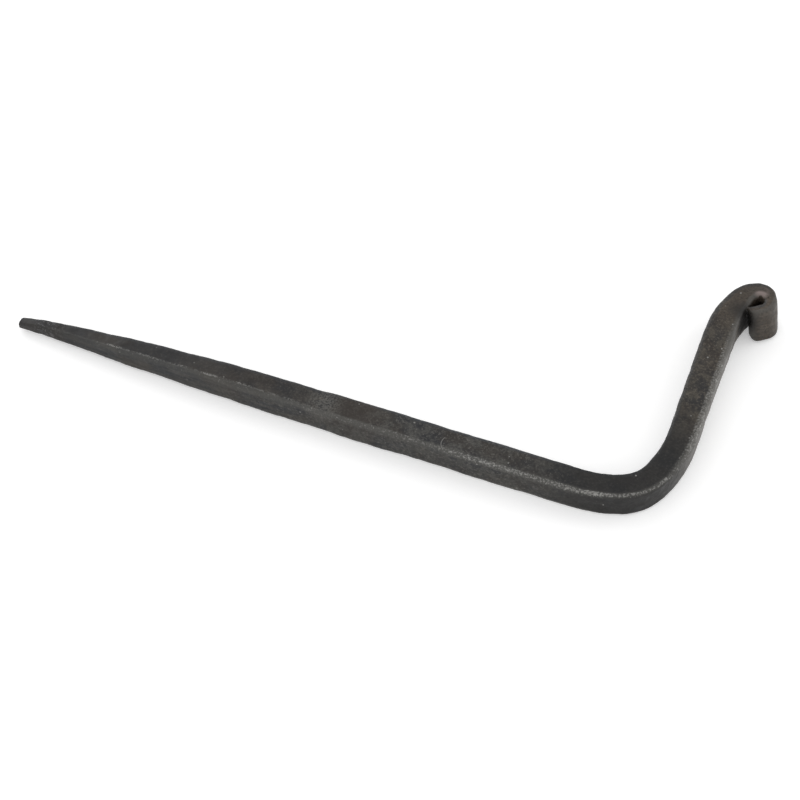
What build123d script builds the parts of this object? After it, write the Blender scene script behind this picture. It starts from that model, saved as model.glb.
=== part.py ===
from build123d import *
import os
from math import atan2, ceil, cos, degrees, pi, radians, sin, sqrt

# Bar stock
BAR_SIDE = 6.1              # square bar the hook is forged from
EDGE_RADIUS = 0.75          # softened corner along the bar
EDGE_SHARE = 0.28           # the corner never takes more than this share of the thinner side

# Drawn-out spike
SPIKE_LENGTH = 66.5         # tip to neck
NECK_SIDE = 5.75            # side where the drawing-out stops
SHOULDER_LENGTH = 5.0       # neck back up to the full bar
TIP_SIDE = 1.75             # side just behind the blunt tip
TIP_ROUNDING = 0.9          # length over which the blunt tip closes
TIP_FLAT = 0.55             # share of the side left flat at the very end
SPIKE_BULGE = 0.72          # below 1 the faces bow outward between tip and neck
TIP_LIFT = 0.5              # underside of the tip above the underside of the bar

# Long leg, bend and arm, on the centre line (angles in degrees)
LEG_LENGTH = 121.5          # tip to the start of the bend
EASE_IN_ANGLE = 14.0        # the bend starts gently,
EASE_IN_RADIUS = 34.0
BEND_ANGLE = 56.0           # tightens over the anvil's edge
BEND_RADIUS = 10.85
EASE_OUT_ANGLE = 20.6       # and opens out again into the arm
EASE_OUT_RADIUS = 31.0
BEND_THICKNESS = 5.9        # bar stretched thinner in plan by the bending
ARM_LENGTH = 28.5
BENDS = (
    (EASE_IN_ANGLE, EASE_IN_RADIUS),
    (BEND_ANGLE, BEND_RADIUS),
    (EASE_OUT_ANGLE, EASE_OUT_RADIUS),
)

# Spread and rolled end, on the centre line (angles in degrees)
SWEEP_ANGLE = 23.9          # gentle outward sweep below the roll
SWEEP_RADIUS = 25.3
CLOSING_ANGLE = 39.3        # tightening toward the roll
CLOSING_RADIUS = 5.75
OVER_ANGLE = 85.8           # over the top of the eye,
SIDE_LENGTH = 0.8           # down its flat far side
UNDER_ANGLE = 82.5          # and back under it
ROLL_RADIUS = 2.37
ROLL_LEAN = 9.6            # axis of the roll off square, lower end outward
END_GAP = 0.12              # thin end stands this far off the arm, at the upper edge
END_CORNER = 0.9            # rounding of the lower corner of the thin end
END_ROUNDING = 1.9          # length over which the outer face rounds in to the thin end
SHORTEST_END = 0.5          # straight run of the thin end never shorter than this

# Section of the spread end: thickness in plan, height across the bar
ARM_THICKNESS = 6.3
SWEEP_THICKNESS = 5.3
CLOSING_THICKNESS = 4.25
SIDE_THICKNESS = 2.6
ROLL_THICKNESS = 2.6
END_THICKNESS = 0.6
ARM_HEIGHT = 6.3
SWEEP_HEIGHT = 7.4
CLOSING_HEIGHT = 8.35
ROLL_HEIGHT = 9.7
END_HEIGHT = 8.8
ROLL_DROP = 0.45             # middle of the roll below the middle of the bar

# Spacing of the sections
TIP_SHARES = (0.0, 0.12, 0.35, 0.65, 1.0)       # of the tip's rounding
SPIKE_STEP = 5.0
ARM_STEP = 4.0
ANGLE_STEP = 6.0            # degrees
END_STEP = 0.25


def table(pairs, distance):
    """Value at a distance, straight between (distance, value) pairs."""
    for (start, low), (end, high) in zip(pairs, pairs[1:]):
        if distance <= end:
            return low + (high - low) * (distance - start) / (end - start)
    return pairs[-1][1]


def steps(length, spacing):
    """Equal shares that divide a length into steps no longer than the spacing."""
    count = max(1, ceil(length / spacing))
    return [i / count for i in range(1, count + 1)]


def straight(station, length, spacing):
    """Stations along a straight run; a station is (distance, x, y, heading)."""
    distance, x, y, heading = station
    lengths = [length * share for share in steps(length, spacing)]
    return [(distance + d, x + d * cos(heading), y + d * sin(heading), heading) for d in lengths]


def arc(station, turn, radius):
    """Stations along an arc; the turn is in degrees, positive to the left."""
    distance, x, y, heading = station
    side = 1 if turn > 0 else -1
    stations = []
    for share in steps(abs(turn), ANGLE_STEP):
        new = heading + radians(turn) * share
        stations.append((
            distance + radius * abs(new - heading),
            x + side * radius * (sin(new) - sin(heading)),
            y - side * radius * (cos(new) - cos(heading)),
            new,
        ))
    return stations


def spike_stations():
    """Stations along the spike and its shoulder, close together at the blunt tip."""
    tip = [TIP_ROUNDING * share for share in TIP_SHARES]
    spike = [TIP_ROUNDING + (SPIKE_LENGTH - TIP_ROUNDING) * share
             for share in steps(SPIKE_LENGTH, SPIKE_STEP)]
    return [(d, d - LEG_LENGTH, 0.0, 0.0) for d in tip + spike + [SPIKE_LENGTH + SHOULDER_LENGTH]]


def end_length(arm_end, roll_end, ends):
    """Straight run from the roll to END_GAP short of the upper edge of the arm's outer side."""
    start, arm_x, arm_y, arm_heading = arm_end
    _, x, y, heading = roll_end
    from_x = x + ROLL_THICKNESS / 2 * sin(heading) - arm_x - SWEEP_RADIUS * sin(arm_heading)
    from_y = y - ROLL_THICKNESS / 2 * cos(heading) - arm_y + SWEEP_RADIUS * cos(arm_heading)
    along = from_x * cos(heading) + from_y * sin(heading)
    met = start
    for _ in range(4):
        thickness, height, middle, lean = section_size(met, ends)
        end_reach = (middle + height / 2 - (BAR_SIDE / 2 - ROLL_DROP)) * sin(radians(ROLL_LEAN))
        arm_reach = height / 2 * sin(radians(lean))
        reach = SWEEP_RADIUS - thickness / 2 - END_GAP - end_reach + arm_reach
        inside = along ** 2 - from_x ** 2 - from_y ** 2 + reach ** 2
        length = max(SHORTEST_END, sqrt(max(0.0, inside)) - along)
        swept = atan2(from_y + length * sin(heading), -from_x - length * cos(heading))
        met = start + SWEEP_RADIUS * min(max(swept, 0.0), radians(SWEEP_ANGLE))
    return length


def joint(station, turn, radius):
    """Station at the far end of an arc."""
    return arc(station, turn, radius)[-1]


def centre_line():
    """Stations of each stretch from the tip to the cut end, and the distances where they end."""
    spike = spike_stations()
    leg = [spike[-1], (LEG_LENGTH, 0.0, 0.0, 0.0)]
    bend = [leg[-1]]
    for angle, radius in BENDS:
        bend.append(joint(bend[-1], angle, radius))
    arm = [bend[-1]] + straight(bend[-1], ARM_LENGTH, ARM_STEP)
    ends = {"leg": leg[-1][0], "bend": bend[-1][0], "arm": arm[-1][0]}
    sweep = arc(arm[-1], -SWEEP_ANGLE, SWEEP_RADIUS)
    closing = arc(sweep[-1], -CLOSING_ANGLE, CLOSING_RADIUS)
    over = arc(closing[-1], -OVER_ANGLE, ROLL_RADIUS)
    side = straight(over[-1], SIDE_LENGTH, SIDE_LENGTH)
    under = arc(side[-1], -UNDER_ANGLE, ROLL_RADIUS)
    ends.update(sweep=sweep[-1][0], closing=closing[-1][0], side=side[-1][0], roll=under[-1][0])
    end = straight(under[-1], end_length(arm[-1], under[-1], ends), END_STEP)
    ends["end"] = end[-1][0]
    return spike, leg, bend, arm + sweep + closing + over + side + under + end, ends


def spike_side(distance):
    """Side of the square spike, bowed from tip to neck and rounded at the tip."""
    share = min(1.0, distance / SPIKE_LENGTH)
    side = TIP_SIDE + (NECK_SIDE - TIP_SIDE) * sin(pi / 2 * share) ** SPIKE_BULGE
    back = max(0.0, 1 - distance / TIP_ROUNDING)
    return side * (TIP_FLAT + (1 - TIP_FLAT) * sqrt(1 - back ** 2))


def section_size(distance, ends):
    """Thickness, height, mid-height and lean of the section at a distance from the tip."""
    if distance <= SPIKE_LENGTH:
        side = spike_side(distance)
        lift = TIP_LIFT * (1 - distance / SPIKE_LENGTH)
        full = spike_side(max(distance, TIP_ROUNDING))
        return side, side, lift + full / 2, 0.0
    shoulder = (SPIKE_LENGTH, NECK_SIDE), (SPIKE_LENGTH + SHOULDER_LENGTH, BAR_SIDE)
    thickness = table([*shoulder, (ends["leg"], BEND_THICKNESS), (ends["bend"], BEND_THICKNESS),
                       (ends["bend"] + BAR_SIDE, BAR_SIDE), (ends["arm"], ARM_THICKNESS),
                       (ends["sweep"], SWEEP_THICKNESS),
                       (ends["closing"], CLOSING_THICKNESS),
                       (ends["side"], SIDE_THICKNESS),
                       (ends["roll"], ROLL_THICKNESS)], distance)
    height = table([*shoulder, (ends["bend"], BAR_SIDE), (ends["arm"], ARM_HEIGHT),
                    (ends["sweep"], SWEEP_HEIGHT), (ends["closing"], CLOSING_HEIGHT),
                    (ends["side"], ROLL_HEIGHT), (ends["roll"], END_HEIGHT)], distance)
    middle = table([(SPIKE_LENGTH, NECK_SIDE / 2), (SPIKE_LENGTH + SHOULDER_LENGTH, BAR_SIDE / 2),
                    (ends["arm"], BAR_SIDE / 2),
                    (ends["closing"], BAR_SIDE / 2 - ROLL_DROP)], distance)
    lean = table([(0.0, 0.0), (ends["arm"], 0.0), (ends["closing"], ROLL_LEAN)], distance)
    to_end = ends.get("end", distance + END_ROUNDING) - distance
    into_rounding = min(1.0, max(0.0, 1 - to_end / END_ROUNDING))
    thickness -= (ROLL_THICKNESS - END_THICKNESS) * (1 - sqrt(1 - into_rounding ** 2))
    into_corner = min(1.0, max(0.0, 1 - to_end / END_CORNER))
    cut = END_CORNER * (1 - sqrt(1 - into_corner ** 2))
    return thickness, height - cut, middle + cut / 2, lean


def section(station, ends):
    """Rounded rectangle across the bar, standing on the leaned roll axis."""
    distance, x, y, heading = station
    thickness, height, middle, lean = section_size(distance, ends)
    up = Vector(-sin(radians(lean)), 0, cos(radians(lean)))
    left = Vector(-sin(heading), cos(heading), 0)
    across = (left - up * left.dot(up)).normalized()
    inset = max(0.0, ROLL_THICKNESS - thickness) / 2
    centre = Vector(x, y, middle) - across * inset
    plane = Plane(origin=centre, x_dir=across, z_dir=across.cross(up))
    radius = min(EDGE_RADIUS, EDGE_SHARE * min(thickness, height))
    return plane * RectangleRounded(thickness, height, radius)


def stretch(stations, ends):
    """Part of the bar through its sections, straight from one to the next."""
    return loft([section(station, ends) for station in stations], ruled=True)


def turned(station, turn, radius, ends):
    """Part of the bar bent to the left about an upright axis."""
    _, x, y, heading = station
    centre = (x - radius * sin(heading), y + radius * cos(heading), 0)
    return revolve(section(station, ends), Axis(centre, (0, 0, 1)), turn)


def forged_bar():
    """The whole hook, bar faces level, underside of the bar at zero height."""
    spike, leg, bend, arm, ends = centre_line()
    bar = stretch(spike + leg[1:], ends)
    for station, (angle, radius) in zip(bend, BENDS):
        bar += turned(station, angle, radius, ends)
    return bar + stretch(arm, ends)


def rest_angle():
    """Tilt at which the bar's lower edge and the deeper rolled end both touch the ground."""
    roll_low = ROLL_HEIGHT / 2 * cos(radians(ROLL_LEAN)) + ROLL_DROP - BAR_SIDE / 2
    *_, arm, ends = centre_line()
    roll_y = [y for distance, x, y, heading in arm if distance == ends["roll"]][0]
    return degrees(atan2(roll_low, roll_y + BAR_SIDE / 2 - EDGE_RADIUS))


def at_rest(shape):
    """Lying on its side on the ground, middle of its bounds over the origin."""
    lying = shape.rotate(Axis.X, rest_angle())
    bounds = lying.bounding_box()
    middle = bounds.center()
    return lying.moved(Location((-middle.X, -middle.Y, -bounds.min.Z)))


hook = at_rest(forged_bar())
os.makedirs("parts", exist_ok=True)
export_step(hook, "parts/forged_hook.step")
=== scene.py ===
"""Forged L hook: blackened, waxed square bar with a drawn-out spike and a rolled end."""

from math import cos, radians, sin

import bmesh
import bpy
from mathutils import Matrix, Vector


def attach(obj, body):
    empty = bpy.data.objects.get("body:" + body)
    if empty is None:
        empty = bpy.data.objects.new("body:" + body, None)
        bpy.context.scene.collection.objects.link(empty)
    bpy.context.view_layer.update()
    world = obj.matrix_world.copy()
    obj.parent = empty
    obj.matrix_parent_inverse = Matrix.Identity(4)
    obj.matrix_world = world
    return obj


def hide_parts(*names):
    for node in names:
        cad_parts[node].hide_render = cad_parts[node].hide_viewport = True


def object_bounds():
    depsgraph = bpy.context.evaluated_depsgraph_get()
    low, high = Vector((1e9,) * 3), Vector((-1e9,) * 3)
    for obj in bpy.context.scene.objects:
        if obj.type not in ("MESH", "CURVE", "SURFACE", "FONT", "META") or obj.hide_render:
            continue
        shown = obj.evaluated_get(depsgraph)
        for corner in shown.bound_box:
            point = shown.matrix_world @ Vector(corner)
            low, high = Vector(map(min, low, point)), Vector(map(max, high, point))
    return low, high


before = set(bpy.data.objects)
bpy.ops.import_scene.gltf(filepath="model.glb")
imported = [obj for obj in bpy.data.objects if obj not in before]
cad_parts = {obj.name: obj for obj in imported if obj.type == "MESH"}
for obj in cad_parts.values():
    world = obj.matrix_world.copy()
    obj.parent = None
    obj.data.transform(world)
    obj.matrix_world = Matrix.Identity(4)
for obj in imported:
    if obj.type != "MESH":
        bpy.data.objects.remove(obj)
cad_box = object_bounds()

MM = 0.001

# How the hook lies: its bar is level in its own frame and tips a little when it rests
REST_TILT = 2.15344                          # degrees about X
REST_SHIFT = (46.8039, -29.6479, 0.0870)     # mm, from the start of the bend

# Camera, in the hook's own frame
LENS = 85.5                                  # mm
SENSOR = 36.0                                # mm across
NEAREST = 10 * MM                            # nothing nearer to the lens is shown
VIEW_ELEVATION = 51.39                       # degrees above the ground
VIEW_AZIMUTH = -21.3                         # degrees from +Y, toward -X
VIEW_TARGET = (-39.4, 10.33, 0.0)            # mm
VIEW_DISTANCE = 389.3                        # mm

# Forged surface
WELD = 0.001 * MM                            # corners of the CAD triangles this close are one
VOXEL = 0.23 * MM                            # finer than the softest corner of the bar
TIP_CUT = 0.6 * MM                           # taken off the point, which is left blunt
HAMMER_SIZE = 11.0 * MM                      # from one hammer blow to the next
HAMMER_DEPTH = 0.17 * MM
NICK_SIZE = 2.2 * MM                         # small dents of scale struck into the steel
NICK_DEPTH = 0.08 * MM
BLOW_BEGINS, BLOW_FULL = 0.35, 0.65          # part of a noise that makes one blow
CORNER_BLUR = 28                             # smoothing steps that tell a corner from a face
CORNER_HEIGHT = 0.14 * MM                    # how far a full corner stands over the smoothed form
WORN_SIDE = (0.64, -0.77, 0.0)               # the outer side of the hook, away from its throat
FORGE_SEED = 5.0

# Marks in the scale of the steel
PATCH_SIZE = 9.0 * MM                        # patches of fire scale
MOTTLE_SIZE = 2.4 * MM                       # blotches where the scale is thin
GRAIN_SIZE = 0.50 * MM                       # grain of the scale, coarser than it is, to show
GRAIN_DEPTH = 0.05 * MM
GRAIN_BUMP = 0.35                            # how far the grain stands out in the light
STREAK_SIZE = 0.6 * MM                       # drawing streaks, across them
STREAK_LENGTH = 7.0 * MM                     # and along them
RUB_SIZE = 0.38 * MM                         # bare specks where a corner is rubbed
KNOCK_SIZE = 5.0 * MM                        # stretches of a corner that are rubbed more
CHIP_SIZE = 0.24 * MM                        # small chips through the scale
CHIP_SPACING = 2.8 * MM

# Places on the hook, in metres
TIP_MIDDLE = (-0.073, -0.031, 0.003)         # the point of the spike
TIP_SCUFF = (-0.0675, -0.0293, 0.0026)       # small scuffs near the point
SPIKE_CHIP = (-0.0513, -0.0312, 0.0039)      # scale chipped off the corner of the spike
NECK_SCUFF = (-0.0047, -0.0300, 0.0060)      # struck bright just before the neck
NECK_MIDDLE = (0.002, -0.0290, 0.006)        # where the spike was drawn out of the bar
BEND_MIDDLE = (0.058, -0.024, 0.005)         # inside the corner of the bend
SEAM_MIDDLE = (0.0670, 0.0238, 0.0058)       # where the rolled end meets the arm
ROLL_MIDDLE = (0.069, 0.031, 0.005)          # eye of the roll
ROLL_FOOT = (0.070, 0.028, 0.000)            # under the roll
EYE_LIP = (0.0696, 0.0296, 0.0097)           # on the top edge of the eye
EYE_MIDDLE = (0.0695, 0.0290, 0.0035)        # down inside the eye

# One curved scratch across the top of the bar, in mm
SCRATCH_CENTRE = (22.75, -30.72)             # of its curve
SCRATCH_RADIUS = 2.15
SCRATCH_MIDDLE = (20.85, -31.10)             # half-way along it
SCRATCH_FULL, SCRATCH_ENDS = 1.3, 1.7        # from its middle: whole up to one, gone at the other
SCRATCH_CORE, SCRATCH_EDGE = 0.02, 0.12      # from its line, in the same way
SCRATCH_LOWEST, SCRATCH_TOP = 4.5, 5.0       # height from which it shows, and is whole
SCRATCH_SHOWS = 0.6                          # how bare it is at its core

# Bare steel and waxed scale
SPECK_GAIN = 2.4                             # how much the fine specks count beside the wear
BARE_BEGINS, BARE_FULL = 1.78, 2.45          # specks and wear together
RUB_SHOWS = 0.55                             # the dull band under the bare specks
BARE_METALLIC = 0.8                          # bare steel, under its film of wax
WAX_SPECULAR = 0.32                          # a thin, dull wax
WAX_BEGINS, WAX_DRY = 0.40, 0.66             # part of the mottle over which the wax thins
WAX_GLOSSY, WAX_DULL = 0.46, 0.62            # roughness there

# Studio
WHITE = (1.0, 1.0, 1.0, 1.0)
PAPER_REACH = 3.0                            # m, half of the paper's side
PAPER_ROUGHNESS = 0.9
PAPER_SPECULAR = 0.1
PAPER_LIFT = 0.30                            # added for the eye only, so that lit paper is white
SKY_LIGHT, SKY_SEEN = 0.75, 1.0              # strength of the surround: as a light, and looked at
SOFTBOXES = (                                # name, place and size in m, power in W
    ("front_softbox", (-0.20, -0.75, 0.60), (0.8, 0.5), 1.6),
    ("left_softbox", (-0.90, 0.50, 0.60), (0.7, 0.5), 2.5),
    ("right_softbox", (0.82, 0.60, 0.30), (0.7, 0.4), 2.5),
)


def linear(colour):
    """An sRGB hex colour as linear RGBA."""
    parts = [int(colour[i:i + 2], 16) / 255 for i in (1, 3, 5)]
    return [c / 12.92 if c <= 0.04045 else ((c + 0.055) / 1.055) ** 2.4 for c in parts] + [1.0]


def add_node(tree, kind, settings=None, inputs=None):
    """A node with its settings, and its inputs set to values or linked from sockets."""
    node = tree.nodes.new(kind)
    for name, value in (settings or {}).items():
        setattr(node, name, value)
    for name, value in (inputs or {}).items():
        if isinstance(value, bpy.types.NodeSocket):
            tree.links.new(value, node.inputs[name])
        else:
            node.inputs[name].default_value = value
    return node


def put_in_scene(name, data):
    """An object for a mesh, a lamp or a camera, standing in the scene."""
    thing = bpy.data.objects.new(name, data)
    bpy.context.scene.collection.objects.link(thing)
    return thing


# ---------------------------------------------------------------- forged surface

def merged_copy(node_name):
    """The CAD form as one closed mesh of its own."""
    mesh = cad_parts[node_name].data.copy()
    form = bmesh.new()
    form.from_mesh(mesh)
    bmesh.ops.remove_doubles(form, verts=form.verts, dist=WELD)
    form.to_mesh(mesh)
    form.free()
    return mesh


def forged_surface_tree():
    """Geometry nodes that hammer the bar: low and high faces, small nicks, marks on corners."""
    tree = bpy.data.node_groups.new("forged_surface", "GeometryNodeTree")
    for name, kind in (
            ("Geometry", "Geometry"), ("Hammer Size", "Float"), ("Hammer Depth", "Float"),
            ("Nick Size", "Float"), ("Nick Depth", "Float"), ("Corner Blur", "Int"),
            ("Corner Height", "Float"), ("Worn Side", "Vector"), ("Box Low", "Vector"),
            ("Box High", "Vector"), ("Seed", "Float"), ("Material", "Material")):
        tree.interface.new_socket(name, in_out="INPUT", socket_type="NodeSocket" + kind)
    tree.interface.new_socket("Geometry", in_out="OUTPUT", socket_type="NodeSocketGeometry")
    given = add_node(tree, "NodeGroupInput").outputs
    place = add_node(tree, "GeometryNodeInputPosition").outputs[0]
    normal = add_node(tree, "GeometryNodeInputNormal").outputs[0]

    # A corner stands over the smoothed form, and the worn side faces outward
    smooth, facing = (
        add_node(tree, "GeometryNodeBlurAttribute", {"data_type": "FLOAT_VECTOR"},
                 {"Value": field, "Iterations": given["Corner Blur"]}).outputs[0]
        for field in (place, normal))
    stand = add_node(tree, "ShaderNodeVectorMath", {"operation": "SUBTRACT"}, {0: place, 1: smooth})
    height = add_node(tree, "ShaderNodeVectorMath", {"operation": "DOT_PRODUCT"},
                      {0: stand.outputs[0], 1: normal})
    corner = add_node(tree, "ShaderNodeMath", {"operation": "DIVIDE"},
                      {0: height.outputs["Value"], 1: given["Corner Height"]})
    outer = add_node(tree, "ShaderNodeVectorMath", {"operation": "DOT_PRODUCT"},
                     {0: facing, 1: given["Worn Side"]})
    marked = given["Geometry"]
    for name, value in (("corner", corner.outputs[0]), ("outer", outer.outputs["Value"])):
        marked = add_node(tree, "GeometryNodeStoreNamedAttribute",
                          {"data_type": "FLOAT", "domain": "POINT"},
                          {"Geometry": marked, "Name": name, "Value": value}).outputs[0]

    # Broad hammer faces rise and fall about the true size, nicks go in only
    blows = []
    for size, depth, low, high, detail in (
            ("Hammer Size", "Hammer Depth", -0.5, 0.5, 1.0),
            ("Nick Size", "Nick Depth", 0.0, -1.0, 3.0)):
        scale = add_node(tree, "ShaderNodeMath", {"operation": "DIVIDE"}, {0: 1.0, 1: given[size]})
        noise = add_node(tree, "ShaderNodeTexNoise", {"noise_dimensions": "4D"},
                         {"Vector": place, "W": given["Seed"], "Scale": scale.outputs[0],
                          "Detail": detail, "Roughness": 0.5})
        blow = add_node(tree, "ShaderNodeMapRange", {"interpolation_type": "SMOOTHSTEP"},
                        {"Value": noise.outputs[0], "From Min": BLOW_BEGINS,
                         "From Max": BLOW_FULL, "To Min": low, "To Max": high})
        blows.append(add_node(tree, "ShaderNodeMath", {"operation": "MULTIPLY"},
                              {0: blow.outputs[0], 1: given[depth]}).outputs[0])
    swell = add_node(tree, "ShaderNodeMath", {"operation": "ADD"}, {0: blows[0], 1: blows[1]})
    offset = add_node(tree, "ShaderNodeVectorMath", {"operation": "SCALE"},
                      {0: normal, "Scale": swell.outputs[0]})
    struck = add_node(tree, "ShaderNodeVectorMath", {"operation": "ADD"},
                      {0: place, 1: offset.outputs[0]}).outputs[0]

    # The hook keeps its overall size and lies flat where it touches the ground
    for limit, side in (("MAXIMUM", "Box Low"), ("MINIMUM", "Box High")):
        struck = add_node(tree, "ShaderNodeVectorMath", {"operation": limit},
                          {0: struck, 1: given[side]}).outputs[0]
    moved = add_node(tree, "GeometryNodeSetPosition", None,
                     {"Geometry": marked, "Position": struck})
    rounded = add_node(tree, "GeometryNodeSetShadeSmooth", None, {"Geometry": moved.outputs[0]})
    real = add_node(tree, "GeometryNodeRealizeInstances", None, {"Geometry": rounded.outputs[0]})
    finished = add_node(tree, "GeometryNodeSetMaterial", None,
                        {"Geometry": real.outputs[0], "Material": given["Material"]})
    add_node(tree, "NodeGroupOutput", None, {0: finished.outputs[0]})
    return tree


def forged_hook(steel):
    """The hook as one piece: a fine skin over the CAD form, then hammered."""
    blank = put_in_scene("hook_blank", merged_copy("forged_hook"))
    skin = blank.modifiers.new("fine_skin", "REMESH")
    skin.mode = "VOXEL"
    skin.voxel_size = VOXEL
    forge = blank.modifiers.new("forged_surface", "NODES")
    forge.node_group = forged_surface_tree()
    values = {
        "Hammer Size": HAMMER_SIZE,
        "Hammer Depth": HAMMER_DEPTH,
        "Nick Size": NICK_SIZE,
        "Nick Depth": NICK_DEPTH,
        "Corner Blur": CORNER_BLUR,
        "Corner Height": CORNER_HEIGHT,
        "Worn Side": WORN_SIDE,
        "Box Low": Vector(cad_box[0]) + Vector((TIP_CUT, 0.0, 0.0)),
        "Box High": Vector(cad_box[1]),
        "Seed": FORGE_SEED,
        "Material": steel,
    }
    for socket in forge.node_group.interface.items_tree:
        if socket.in_out == "INPUT" and socket.name in values:
            forge[socket.identifier] = values[socket.name]
    shaped = blank.evaluated_get(bpy.context.evaluated_depsgraph_get())
    mesh = bpy.data.meshes.new_from_object(shaped)
    bpy.data.objects.remove(blank)
    return put_in_scene("hammered_hook", mesh)


# ---------------------------------------------------------------- finishes

def empty_material(name):
    """A material with nothing in its node tree yet."""
    material = bpy.data.materials.new(name)
    material.use_nodes = True
    material.node_tree.nodes.clear()
    return material


def scale_noises(tree, place):
    """Noise at the real size of each kind of mark."""
    drawn = add_node(tree, "ShaderNodeMapping", None,
                     {"Vector": place, "Scale": (1.0, 1.0, STREAK_LENGTH / STREAK_SIZE)}).outputs[0]
    noise = {}
    for name, where, size, detail, roughness in (
            ("patch", place, PATCH_SIZE, 3.0, 0.5),
            ("mottle", place, MOTTLE_SIZE, 3.0, 0.5),
            ("grain", place, GRAIN_SIZE, 4.0, 0.75),
            ("streak", drawn, STREAK_LENGTH, 2.0, 0.5),
            ("rub", place, RUB_SIZE, 2.0, 0.7),
            ("knock", place, KNOCK_SIZE, 1.0, 0.5)):
        noise[name] = add_node(tree, "ShaderNodeTexNoise", None,
                               {"Vector": where, "Scale": 1 / size, "Detail": detail,
                                "Roughness": roughness}).outputs[0]
    return noise


def stretch_shares(tree, place, noise):
    """How far each mark and tone shows by its noise, along the hook and round its bar."""
    along = add_node(tree, "ShaderNodeSeparateXYZ", None, {0: place}).outputs
    corner, outer = (
        add_node(tree, "ShaderNodeAttribute", {"attribute_name": name}).outputs["Fac"]
        for name in ("corner", "outer"))

    # Soft steps: what each reads, where it begins and is full, its least and most
    share = {}
    for name, value, begins, full, least, most in (
            # Marks all over the scale
            ("patch", noise["patch"], 0.42, 0.60, 0.0, 0.9),      # browner scale
            ("mottle", noise["mottle"], 0.44, 0.64, 0.0, 0.9),    # thin, greyer scale
            ("streak", noise["streak"], 0.45, 0.65, 0.0, 0.45),   # drawn out by the hammer
            ("line", noise["streak"], 0.44, 0.56, 0.0, 1.0),      # dark lines about the roll
            ("fleck", noise["grain"], 0.50, 0.68, 0.0, 0.85),     # pale grains
            ("pit", noise["grain"], 0.50, 0.30, 0.0, 1.0),        # dark pores
            ("speckle", noise["rub"], 0.40, 0.62, 0.0, 1.0),      # breaks up bare places
            ("knock", noise["knock"], 0.40, 0.60, 0.86, 1.0),     # uneven rubbing
            ("broken", noise["knock"], 0.42, 0.58, 0.25, 1.0),    # gaps in the spike's line
            # Along the leg, from the point (-X) to the bend (+X), in metres
            ("point", along["X"], -0.070, -0.048, 0.35, 1.0),     # rubbed less at the point
            ("spike_fade", along["X"], -0.062, -0.034, 0.2, 1.0),
            ("spike_line", along["X"], -0.002, -0.018, 0.0, 1.1),
            ("spike_rub", along["X"], -0.030, 0.004, 0.68, 1.0),
            ("spike", along["X"], 0.020, -0.020, 0.0, 0.6),       # the spike's browner top
            ("coarse", along["X"], -0.045, 0.005, 0.25, 0.85),    # marks faint on the spike
            ("leg", along["X"], 0.005, 0.058, 0.58, 1.0),         # rubbed more near the bend
            ("bend", along["X"], 0.052, 0.066, 1.0, 0.75),
            # Along the arm, from the bend (-Y) to the roll (+Y), in metres
            ("arm_heat", along["Y"], -0.020, -0.005, 0.0, 1.0),
            ("arm_foot", along["Y"], -0.024, -0.010, 0.0, 1.0),
            ("arm_head", along["Y"], 0.020, 0.011, 0.0, 1.0),
            ("arm", along["Y"], 0.006, 0.020, 1.0, 0.35),         # rubbed less near the roll
            # On the corners of the bar
            ("edge", corner, 0.1, 1.0, 0.0, 1.0),
            ("soft_edge", corner, 0.0, 0.5, 0.0, 1.0),
            # By facing: below 0 into the throat, 0 up, 1 straight outward
            # Painted reflection on the corners that face into the throat, a cool blue-grey sheen
            ("throat_painted_sheen", outer, -0.02, -0.26, 0.0, 0.8),
            ("top", outer, 0.30, 0.10, 0.0, 1.0),
            ("rim_top", outer, 0.07, 0.13, 0.0, 0.6),
            ("rim_foot", outer, 0.24, 0.17, 0.0, 1.0),
            ("crest", outer, 0.04, 0.20, 0.0, 1.0),
            # Painted light: the arm's side that faces outward is made paler, as its reflection of
            # the floor shows it
            ("arm_side_painted_light", outer, 0.10, 0.34, 0.0, 0.75),
            ("shoulder", outer, 0.95, 0.50, 0.0, 1.0)):
        share[name] = add_node(tree, "ShaderNodeMapRange", {"interpolation_type": "SMOOTHSTEP"},
                               {"Value": value, "From Min": begins, "From Max": full,
                                "To Min": least, "To Max": most}).outputs[0]
    return share


def spot_shares(tree, place):
    """How far the marks, the painted shade and the painted highlight at single places on the hook
    show.
    """
    share = {}
    # Full up to the first distance in mm, gone at the second, and the most it comes to
    for name, spot, near, far, most in (
            ("tip_heat", TIP_MIDDLE, 5.0, 20.0, 0.7),
            ("tip_scuff", TIP_SCUFF, 1.5, 5.0, 1.0),
            ("spike_chip", SPIKE_CHIP, 1.4, 2.3, 1.0),
            ("neck_scuff", NECK_SCUFF, 1.0, 5.0, 0.55),
            ("neck_heat", NECK_MIDDLE, 1.5, 7.0, 0.55),
            # The steel is darker about the inside of the bend
            ("bend_darkening", BEND_MIDDLE, 9.0, 24.0, 0.9),
            # Painted shade in the seam where the rolled end meets the arm
            ("seam_painted_shade", SEAM_MIDDLE, 2.0, 5.0, 0.95),
            ("roll_heat", ROLL_MIDDLE, 6.0, 16.0, 0.65),
            ("roll_line", ROLL_MIDDLE, 5.0, 12.0, 0.45),
            # Painted shade at the foot of the roll, where it meets the ground
            ("roll_foot_painted_shade", ROLL_FOOT, 2.0, 6.5, 0.7),
            # Painted highlight on the top edge of the eye
            ("eye_lip_painted_highlight", EYE_LIP, 0.6, 2.0, 1.0),
            # Painted shade down inside the eye
            ("eye_painted_shade", EYE_MIDDLE, 3.0, 5.2, 0.9)):
        away = add_node(tree, "ShaderNodeVectorMath", {"operation": "DISTANCE"},
                        {0: place, 1: spot}).outputs["Value"]
        share[name] = add_node(tree, "ShaderNodeMapRange", {"interpolation_type": "SMOOTHSTEP"},
                               {"Value": away, "From Min": near * MM, "From Max": far * MM,
                                "To Min": most, "To Max": 0.0}).outputs[0]
    return share


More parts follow.
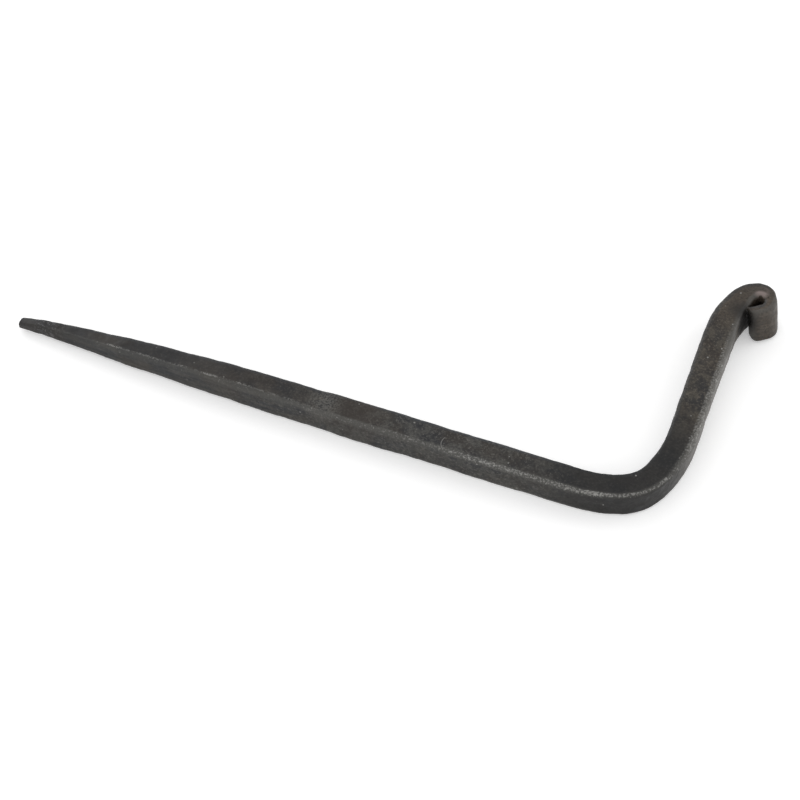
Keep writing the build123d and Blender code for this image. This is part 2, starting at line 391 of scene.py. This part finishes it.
def wear_shares(tree, place, noise):
    """All the shares, with those multiplied that hold only together."""
    share = {**stretch_shares(tree, place, noise), **spot_shares(tree, place)}
    # Their order counts: each reads the others as they are by then
    for name, factors in (
            ("tip_scuff", ("tip_scuff", "fleck")),
            ("mottle", ("mottle", "coarse")),
            ("fleck", ("fleck", "coarse")),
            ("pit", ("pit", "coarse")),
            ("line", ("line", "roll_line")),
            ("throat_painted_sheen", ("throat_painted_sheen", "soft_edge")),
            ("eye_lip_painted_highlight", ("eye_lip_painted_highlight", "soft_edge")),
            ("spike", ("spike", "top")),
            ("neck_scuff", ("neck_scuff", "speckle")),
            ("arm_side_painted_light", ("arm_side_painted_light", "arm_foot", "arm_head")),
            ("rub_line", ("rim_top", "rim_foot", "speckle", "point")),
            ("arm_line", ("rub_line", "arm_foot", "arm_head")),
            ("spike_line", ("rub_line", "spike_line", "spike_fade", "broken")),
            ("spike_chip", ("rim_foot", "crest", "speckle", "spike_chip")),
            ("rub", ("edge", "crest", "shoulder", "point", "spike_rub")),
            ("worn", ("rub", "leg", "bend", "arm", "knock"))):
        product = share[factors[0]]
        for factor in factors[1:]:
            product = add_node(tree, "ShaderNodeMath", {"operation": "MULTIPLY"},
                               {0: product, 1: share[factor]}).outputs[0]
        share[name] = product
    return share


def bare_steel(tree, place, noise, share):
    """Share of bare steel: rubbed corners, chips, the scratch, the lines on arm and spike."""
    specks = add_node(tree, "ShaderNodeMath", {"operation": "MULTIPLY_ADD"},
                      {0: noise["rub"], 1: SPECK_GAIN, 2: share["worn"]}).outputs[0]
    chips = add_node(tree, "ShaderNodeTexVoronoi", None,
                     {"Vector": place, "Scale": 1 / CHIP_SPACING}).outputs["Distance"]

    # The scratch is part of a circle, seen from above
    height = add_node(tree, "ShaderNodeSeparateXYZ", None, {0: place}).outputs["Z"]
    flat = add_node(tree, "ShaderNodeVectorMath", {"operation": "MULTIPLY"},
                    {0: place, 1: (1.0, 1.0, 0.0)}).outputs[0]
    from_centre, from_middle = (
        add_node(tree, "ShaderNodeVectorMath", {"operation": "DISTANCE"},
                 {0: flat, 1: (spot[0] * MM, spot[1] * MM, 0.0)}).outputs["Value"]
        for spot in (SCRATCH_CENTRE, SCRATCH_MIDDLE))
    from_line = add_node(tree, "ShaderNodeMath", {"operation": "SUBTRACT"},
                         {0: from_centre, 1: SCRATCH_RADIUS * MM}).outputs[0]
    from_line = add_node(tree, "ShaderNodeMath", {"operation": "ABSOLUTE"},
                         {0: from_line}).outputs[0]

    chip = CHIP_SIZE / CHIP_SPACING
    mark = {}
    for name, value, begins, full, most in (
            ("bare", specks, BARE_BEGINS, BARE_FULL, 1.0),
            ("chip", chips, chip, 0.5 * chip, 1.0),
            ("scratch", from_line, SCRATCH_EDGE * MM, SCRATCH_CORE * MM, SCRATCH_SHOWS),
            ("scratch_ends", from_middle, SCRATCH_ENDS * MM, SCRATCH_FULL * MM, 1.0),
            ("scratch_top", height, SCRATCH_LOWEST * MM, SCRATCH_TOP * MM, 1.0)):
        mark[name] = add_node(tree, "ShaderNodeMapRange", {"interpolation_type": "SMOOTHSTEP"},
                              {"Value": value, "From Min": begins, "From Max": full,
                               "To Max": most}).outputs[0]
    for name, factor in (("scratch", mark["scratch_ends"]), ("scratch", mark["scratch_top"]),
                         ("chip", share["coarse"])):
        mark[name] = add_node(tree, "ShaderNodeMath", {"operation": "MULTIPLY"},
                              {0: mark[name], 1: factor}).outputs[0]
    bare = mark["bare"]
    for other in (mark["chip"], mark["scratch"], share["arm_line"], share["spike_line"],
                  share["spike_chip"]):
        bare = add_node(tree, "ShaderNodeMath", {"operation": "MAXIMUM"},
                        {0: bare, 1: other}).outputs[0]
    return bare


def steel_colour(tree, share):
    """The tones of the steel, each laid over the last by its share."""
    colour = linear("#1B1C1F")
    for name, blend, tone in (
            # Fire scale, its heat colours and its grain, with a painted sheen on the throat's
            # corners, painted shade at the foot of the roll and a darker bend
            ("patch", "MIX", "#2A2520"),
            ("mottle", "MIX", "#444340"),
            ("streak", "MIX", "#45423D"),
            ("roll_heat", "MIX", "#524C46"),
            # Painted reflection: a cool blue-grey sheen on the corners that face the throat
            ("throat_painted_sheen", "MIX", "#32353A"),
            ("fleck", "MIX", "#5C5A56"),
            ("pit", "MIX", "#121214"),
            ("spike", "MULTIPLY", "#A8968A"),
            # Darker about the inside of the bend
            ("bend_darkening", "MULTIPLY", "#666465"),
            ("arm_heat", "MULTIPLY", "#FFF3E4"),
            ("neck_heat", "MIX", "#2A231D"),
            ("tip_heat", "MULTIPLY", "#80726E"),
            # Painted shade: the foot of the roll darkened where it meets the ground
            ("roll_foot_painted_shade", "MULTIPLY", "#776C64"),
            ("line", "MULTIPLY", "#6E6A66"),
            # Painted light on the arm's outer side, rubbed and bare places, and a painted highlight
            # on the lip of the eye
            # Painted reflection: a paler tone on the outward side of the arm
            ("arm_side_painted_light", "MIX", "#67635E"),
            ("rub", "MIX", "#53524F"),
            ("bare", "MIX", "#8A8986"),
            ("neck_scuff", "MIX", "#66645F"),
            ("tip_scuff", "MIX", "#5F5D5E"),
            # Painted highlight: a pinkish pale line on the top edge of the eye
            ("eye_lip_painted_highlight", "MIX", "#7C706C"),
            # Painted shade down in the eye and in the seam where the rolled end meets the arm
            # Painted shade inside the eye
            ("eye_painted_shade", "MULTIPLY", "#46443E"),
            # Painted shade in the seam between the rolled end and the arm
            ("seam_painted_shade", "MULTIPLY", "#2C2A31")):
        colour = add_node(tree, "ShaderNodeMix", {"data_type": "RGBA", "blend_type": blend},
                          {0: share[name], 6: colour, 7: linear(tone)}).outputs[2]
    return colour


def forged_steel():
    """Mild steel, black from the fire and waxed: dull satin black, rubbed bare on its corners."""
    material = empty_material("forged_steel_blackened_waxed")
    tree = material.node_tree
    place = add_node(tree, "ShaderNodeTexCoord").outputs["Object"]
    noise = scale_noises(tree, place)
    share = wear_shares(tree, place, noise)
    share["bare"] = bare_steel(tree, place, noise, share)
    share["rub"] = add_node(tree, "ShaderNodeMath", {"operation": "MULTIPLY"},
                            {0: share["rub"], 1: RUB_SHOWS}).outputs[0]
    metal = add_node(tree, "ShaderNodeMath", {"operation": "MULTIPLY"},
                     {0: share["bare"], 1: BARE_METALLIC})
    gloss = add_node(tree, "ShaderNodeMapRange", None,
                     {"Value": noise["mottle"], "From Min": WAX_BEGINS, "From Max": WAX_DRY,
                      "To Min": WAX_GLOSSY, "To Max": WAX_DULL})
    bump = add_node(tree, "ShaderNodeBump", None,
                    {"Height": noise["grain"], "Strength": GRAIN_BUMP, "Distance": GRAIN_DEPTH})
    steel = add_node(tree, "ShaderNodeBsdfPrincipled", None,
                     {"Base Color": steel_colour(tree, share), "Roughness": gloss.outputs[0],
                      "Metallic": metal.outputs[0], "Specular IOR Level": WAX_SPECULAR,
                      "Normal": bump.outputs[0]})
    add_node(tree, "ShaderNodeOutputMaterial", None, {"Surface": steel.outputs[0]})
    return material


def seen(tree):
    """1 where a surface is looked at, directly or in a reflection, and 0 where it only lights."""
    rays = add_node(tree, "ShaderNodeLightPath").outputs
    share = rays["Is Camera Ray"]
    for kind in ("Is Glossy Ray", "Is Transmission Ray"):
        share = add_node(tree, "ShaderNodeMath", {"operation": "MAXIMUM"},
                         {0: share, 1: rays[kind]}).outputs[0]
    return share


def white_paper():
    """Matt white paper, shown as clean white where the light is full on it."""
    material = empty_material("studio_floor_white")
    tree = material.node_tree
    lift = add_node(tree, "ShaderNodeMath", {"operation": "MULTIPLY"},
                    {0: seen(tree), 1: PAPER_LIFT})
    paper = add_node(tree, "ShaderNodeBsdfPrincipled", None,
                     {"Base Color": linear("#F4F4F4"), "Roughness": PAPER_ROUGHNESS,
                      "Specular IOR Level": PAPER_SPECULAR, "Emission Color": WHITE,
                      "Emission Strength": lift.outputs[0]})
    add_node(tree, "ShaderNodeOutputMaterial", None, {"Surface": paper.outputs[0]})
    return material


# ---------------------------------------------------------------- studio

def camera():
    """The camera, set in the hook's own frame and carried with it to where it rests."""
    elevation, azimuth = radians(VIEW_ELEVATION), radians(VIEW_AZIMUTH)
    ahead = Vector((sin(azimuth) * cos(elevation), cos(azimuth) * cos(elevation), -sin(elevation)))
    right = Vector((cos(azimuth), -sin(azimuth), 0))
    turn = Matrix((right, right.cross(ahead), -ahead)).transposed().to_4x4()
    stand = Matrix.Translation((Vector(VIEW_TARGET) - VIEW_DISTANCE * ahead) * MM)
    tilt = Matrix.Rotation(radians(REST_TILT), 4, "X")
    lying = Matrix.Translation(Vector(REST_SHIFT) * MM) @ tilt
    lens = bpy.data.cameras.new("camera")
    lens.lens = LENS
    lens.sensor_width = SENSOR
    lens.clip_start = NEAREST
    eye = put_in_scene("camera", lens)
    eye.matrix_world = lying @ stand @ turn
    bpy.context.scene.camera = eye


def floor():
    """A wide sheet of white paper under the hook."""
    form = bmesh.new()
    bmesh.ops.create_grid(form, x_segments=1, y_segments=1, size=PAPER_REACH)
    mesh = bpy.data.meshes.new("studio_floor")
    form.to_mesh(mesh)
    form.free()
    mesh.materials.append(white_paper())
    put_in_scene("studio_floor", mesh)


def studio_light():
    """A white surround and three softboxes that face the hook."""
    world = bpy.data.worlds.new("studio_white")
    bpy.context.scene.world = world
    world.use_nodes = True
    tree = world.node_tree
    tree.nodes.clear()
    strength = add_node(tree, "ShaderNodeMapRange", None,
                        {"Value": seen(tree), "To Min": SKY_LIGHT, "To Max": SKY_SEEN})
    glow = add_node(tree, "ShaderNodeBackground", None,
                    {"Color": WHITE, "Strength": strength.outputs[0]})
    add_node(tree, "ShaderNodeOutputWorld", None, {"Surface": glow.outputs[0]})
    for name, place, size, power in SOFTBOXES:
        lamp = bpy.data.lights.new(name, "AREA")
        lamp.shape = "RECTANGLE"
        lamp.size, lamp.size_y = size
        lamp.energy = power
        stand = put_in_scene(name, lamp)
        stand.location = place
        stand.rotation_euler = (-Vector(place)).to_track_quat("-Z", "Y").to_euler()


bpy.context.scene.view_settings.view_transform = "Standard"
camera()
floor()
studio_light()

hook = forged_hook(forged_steel())
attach(hook, "root")
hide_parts("forged_hook")
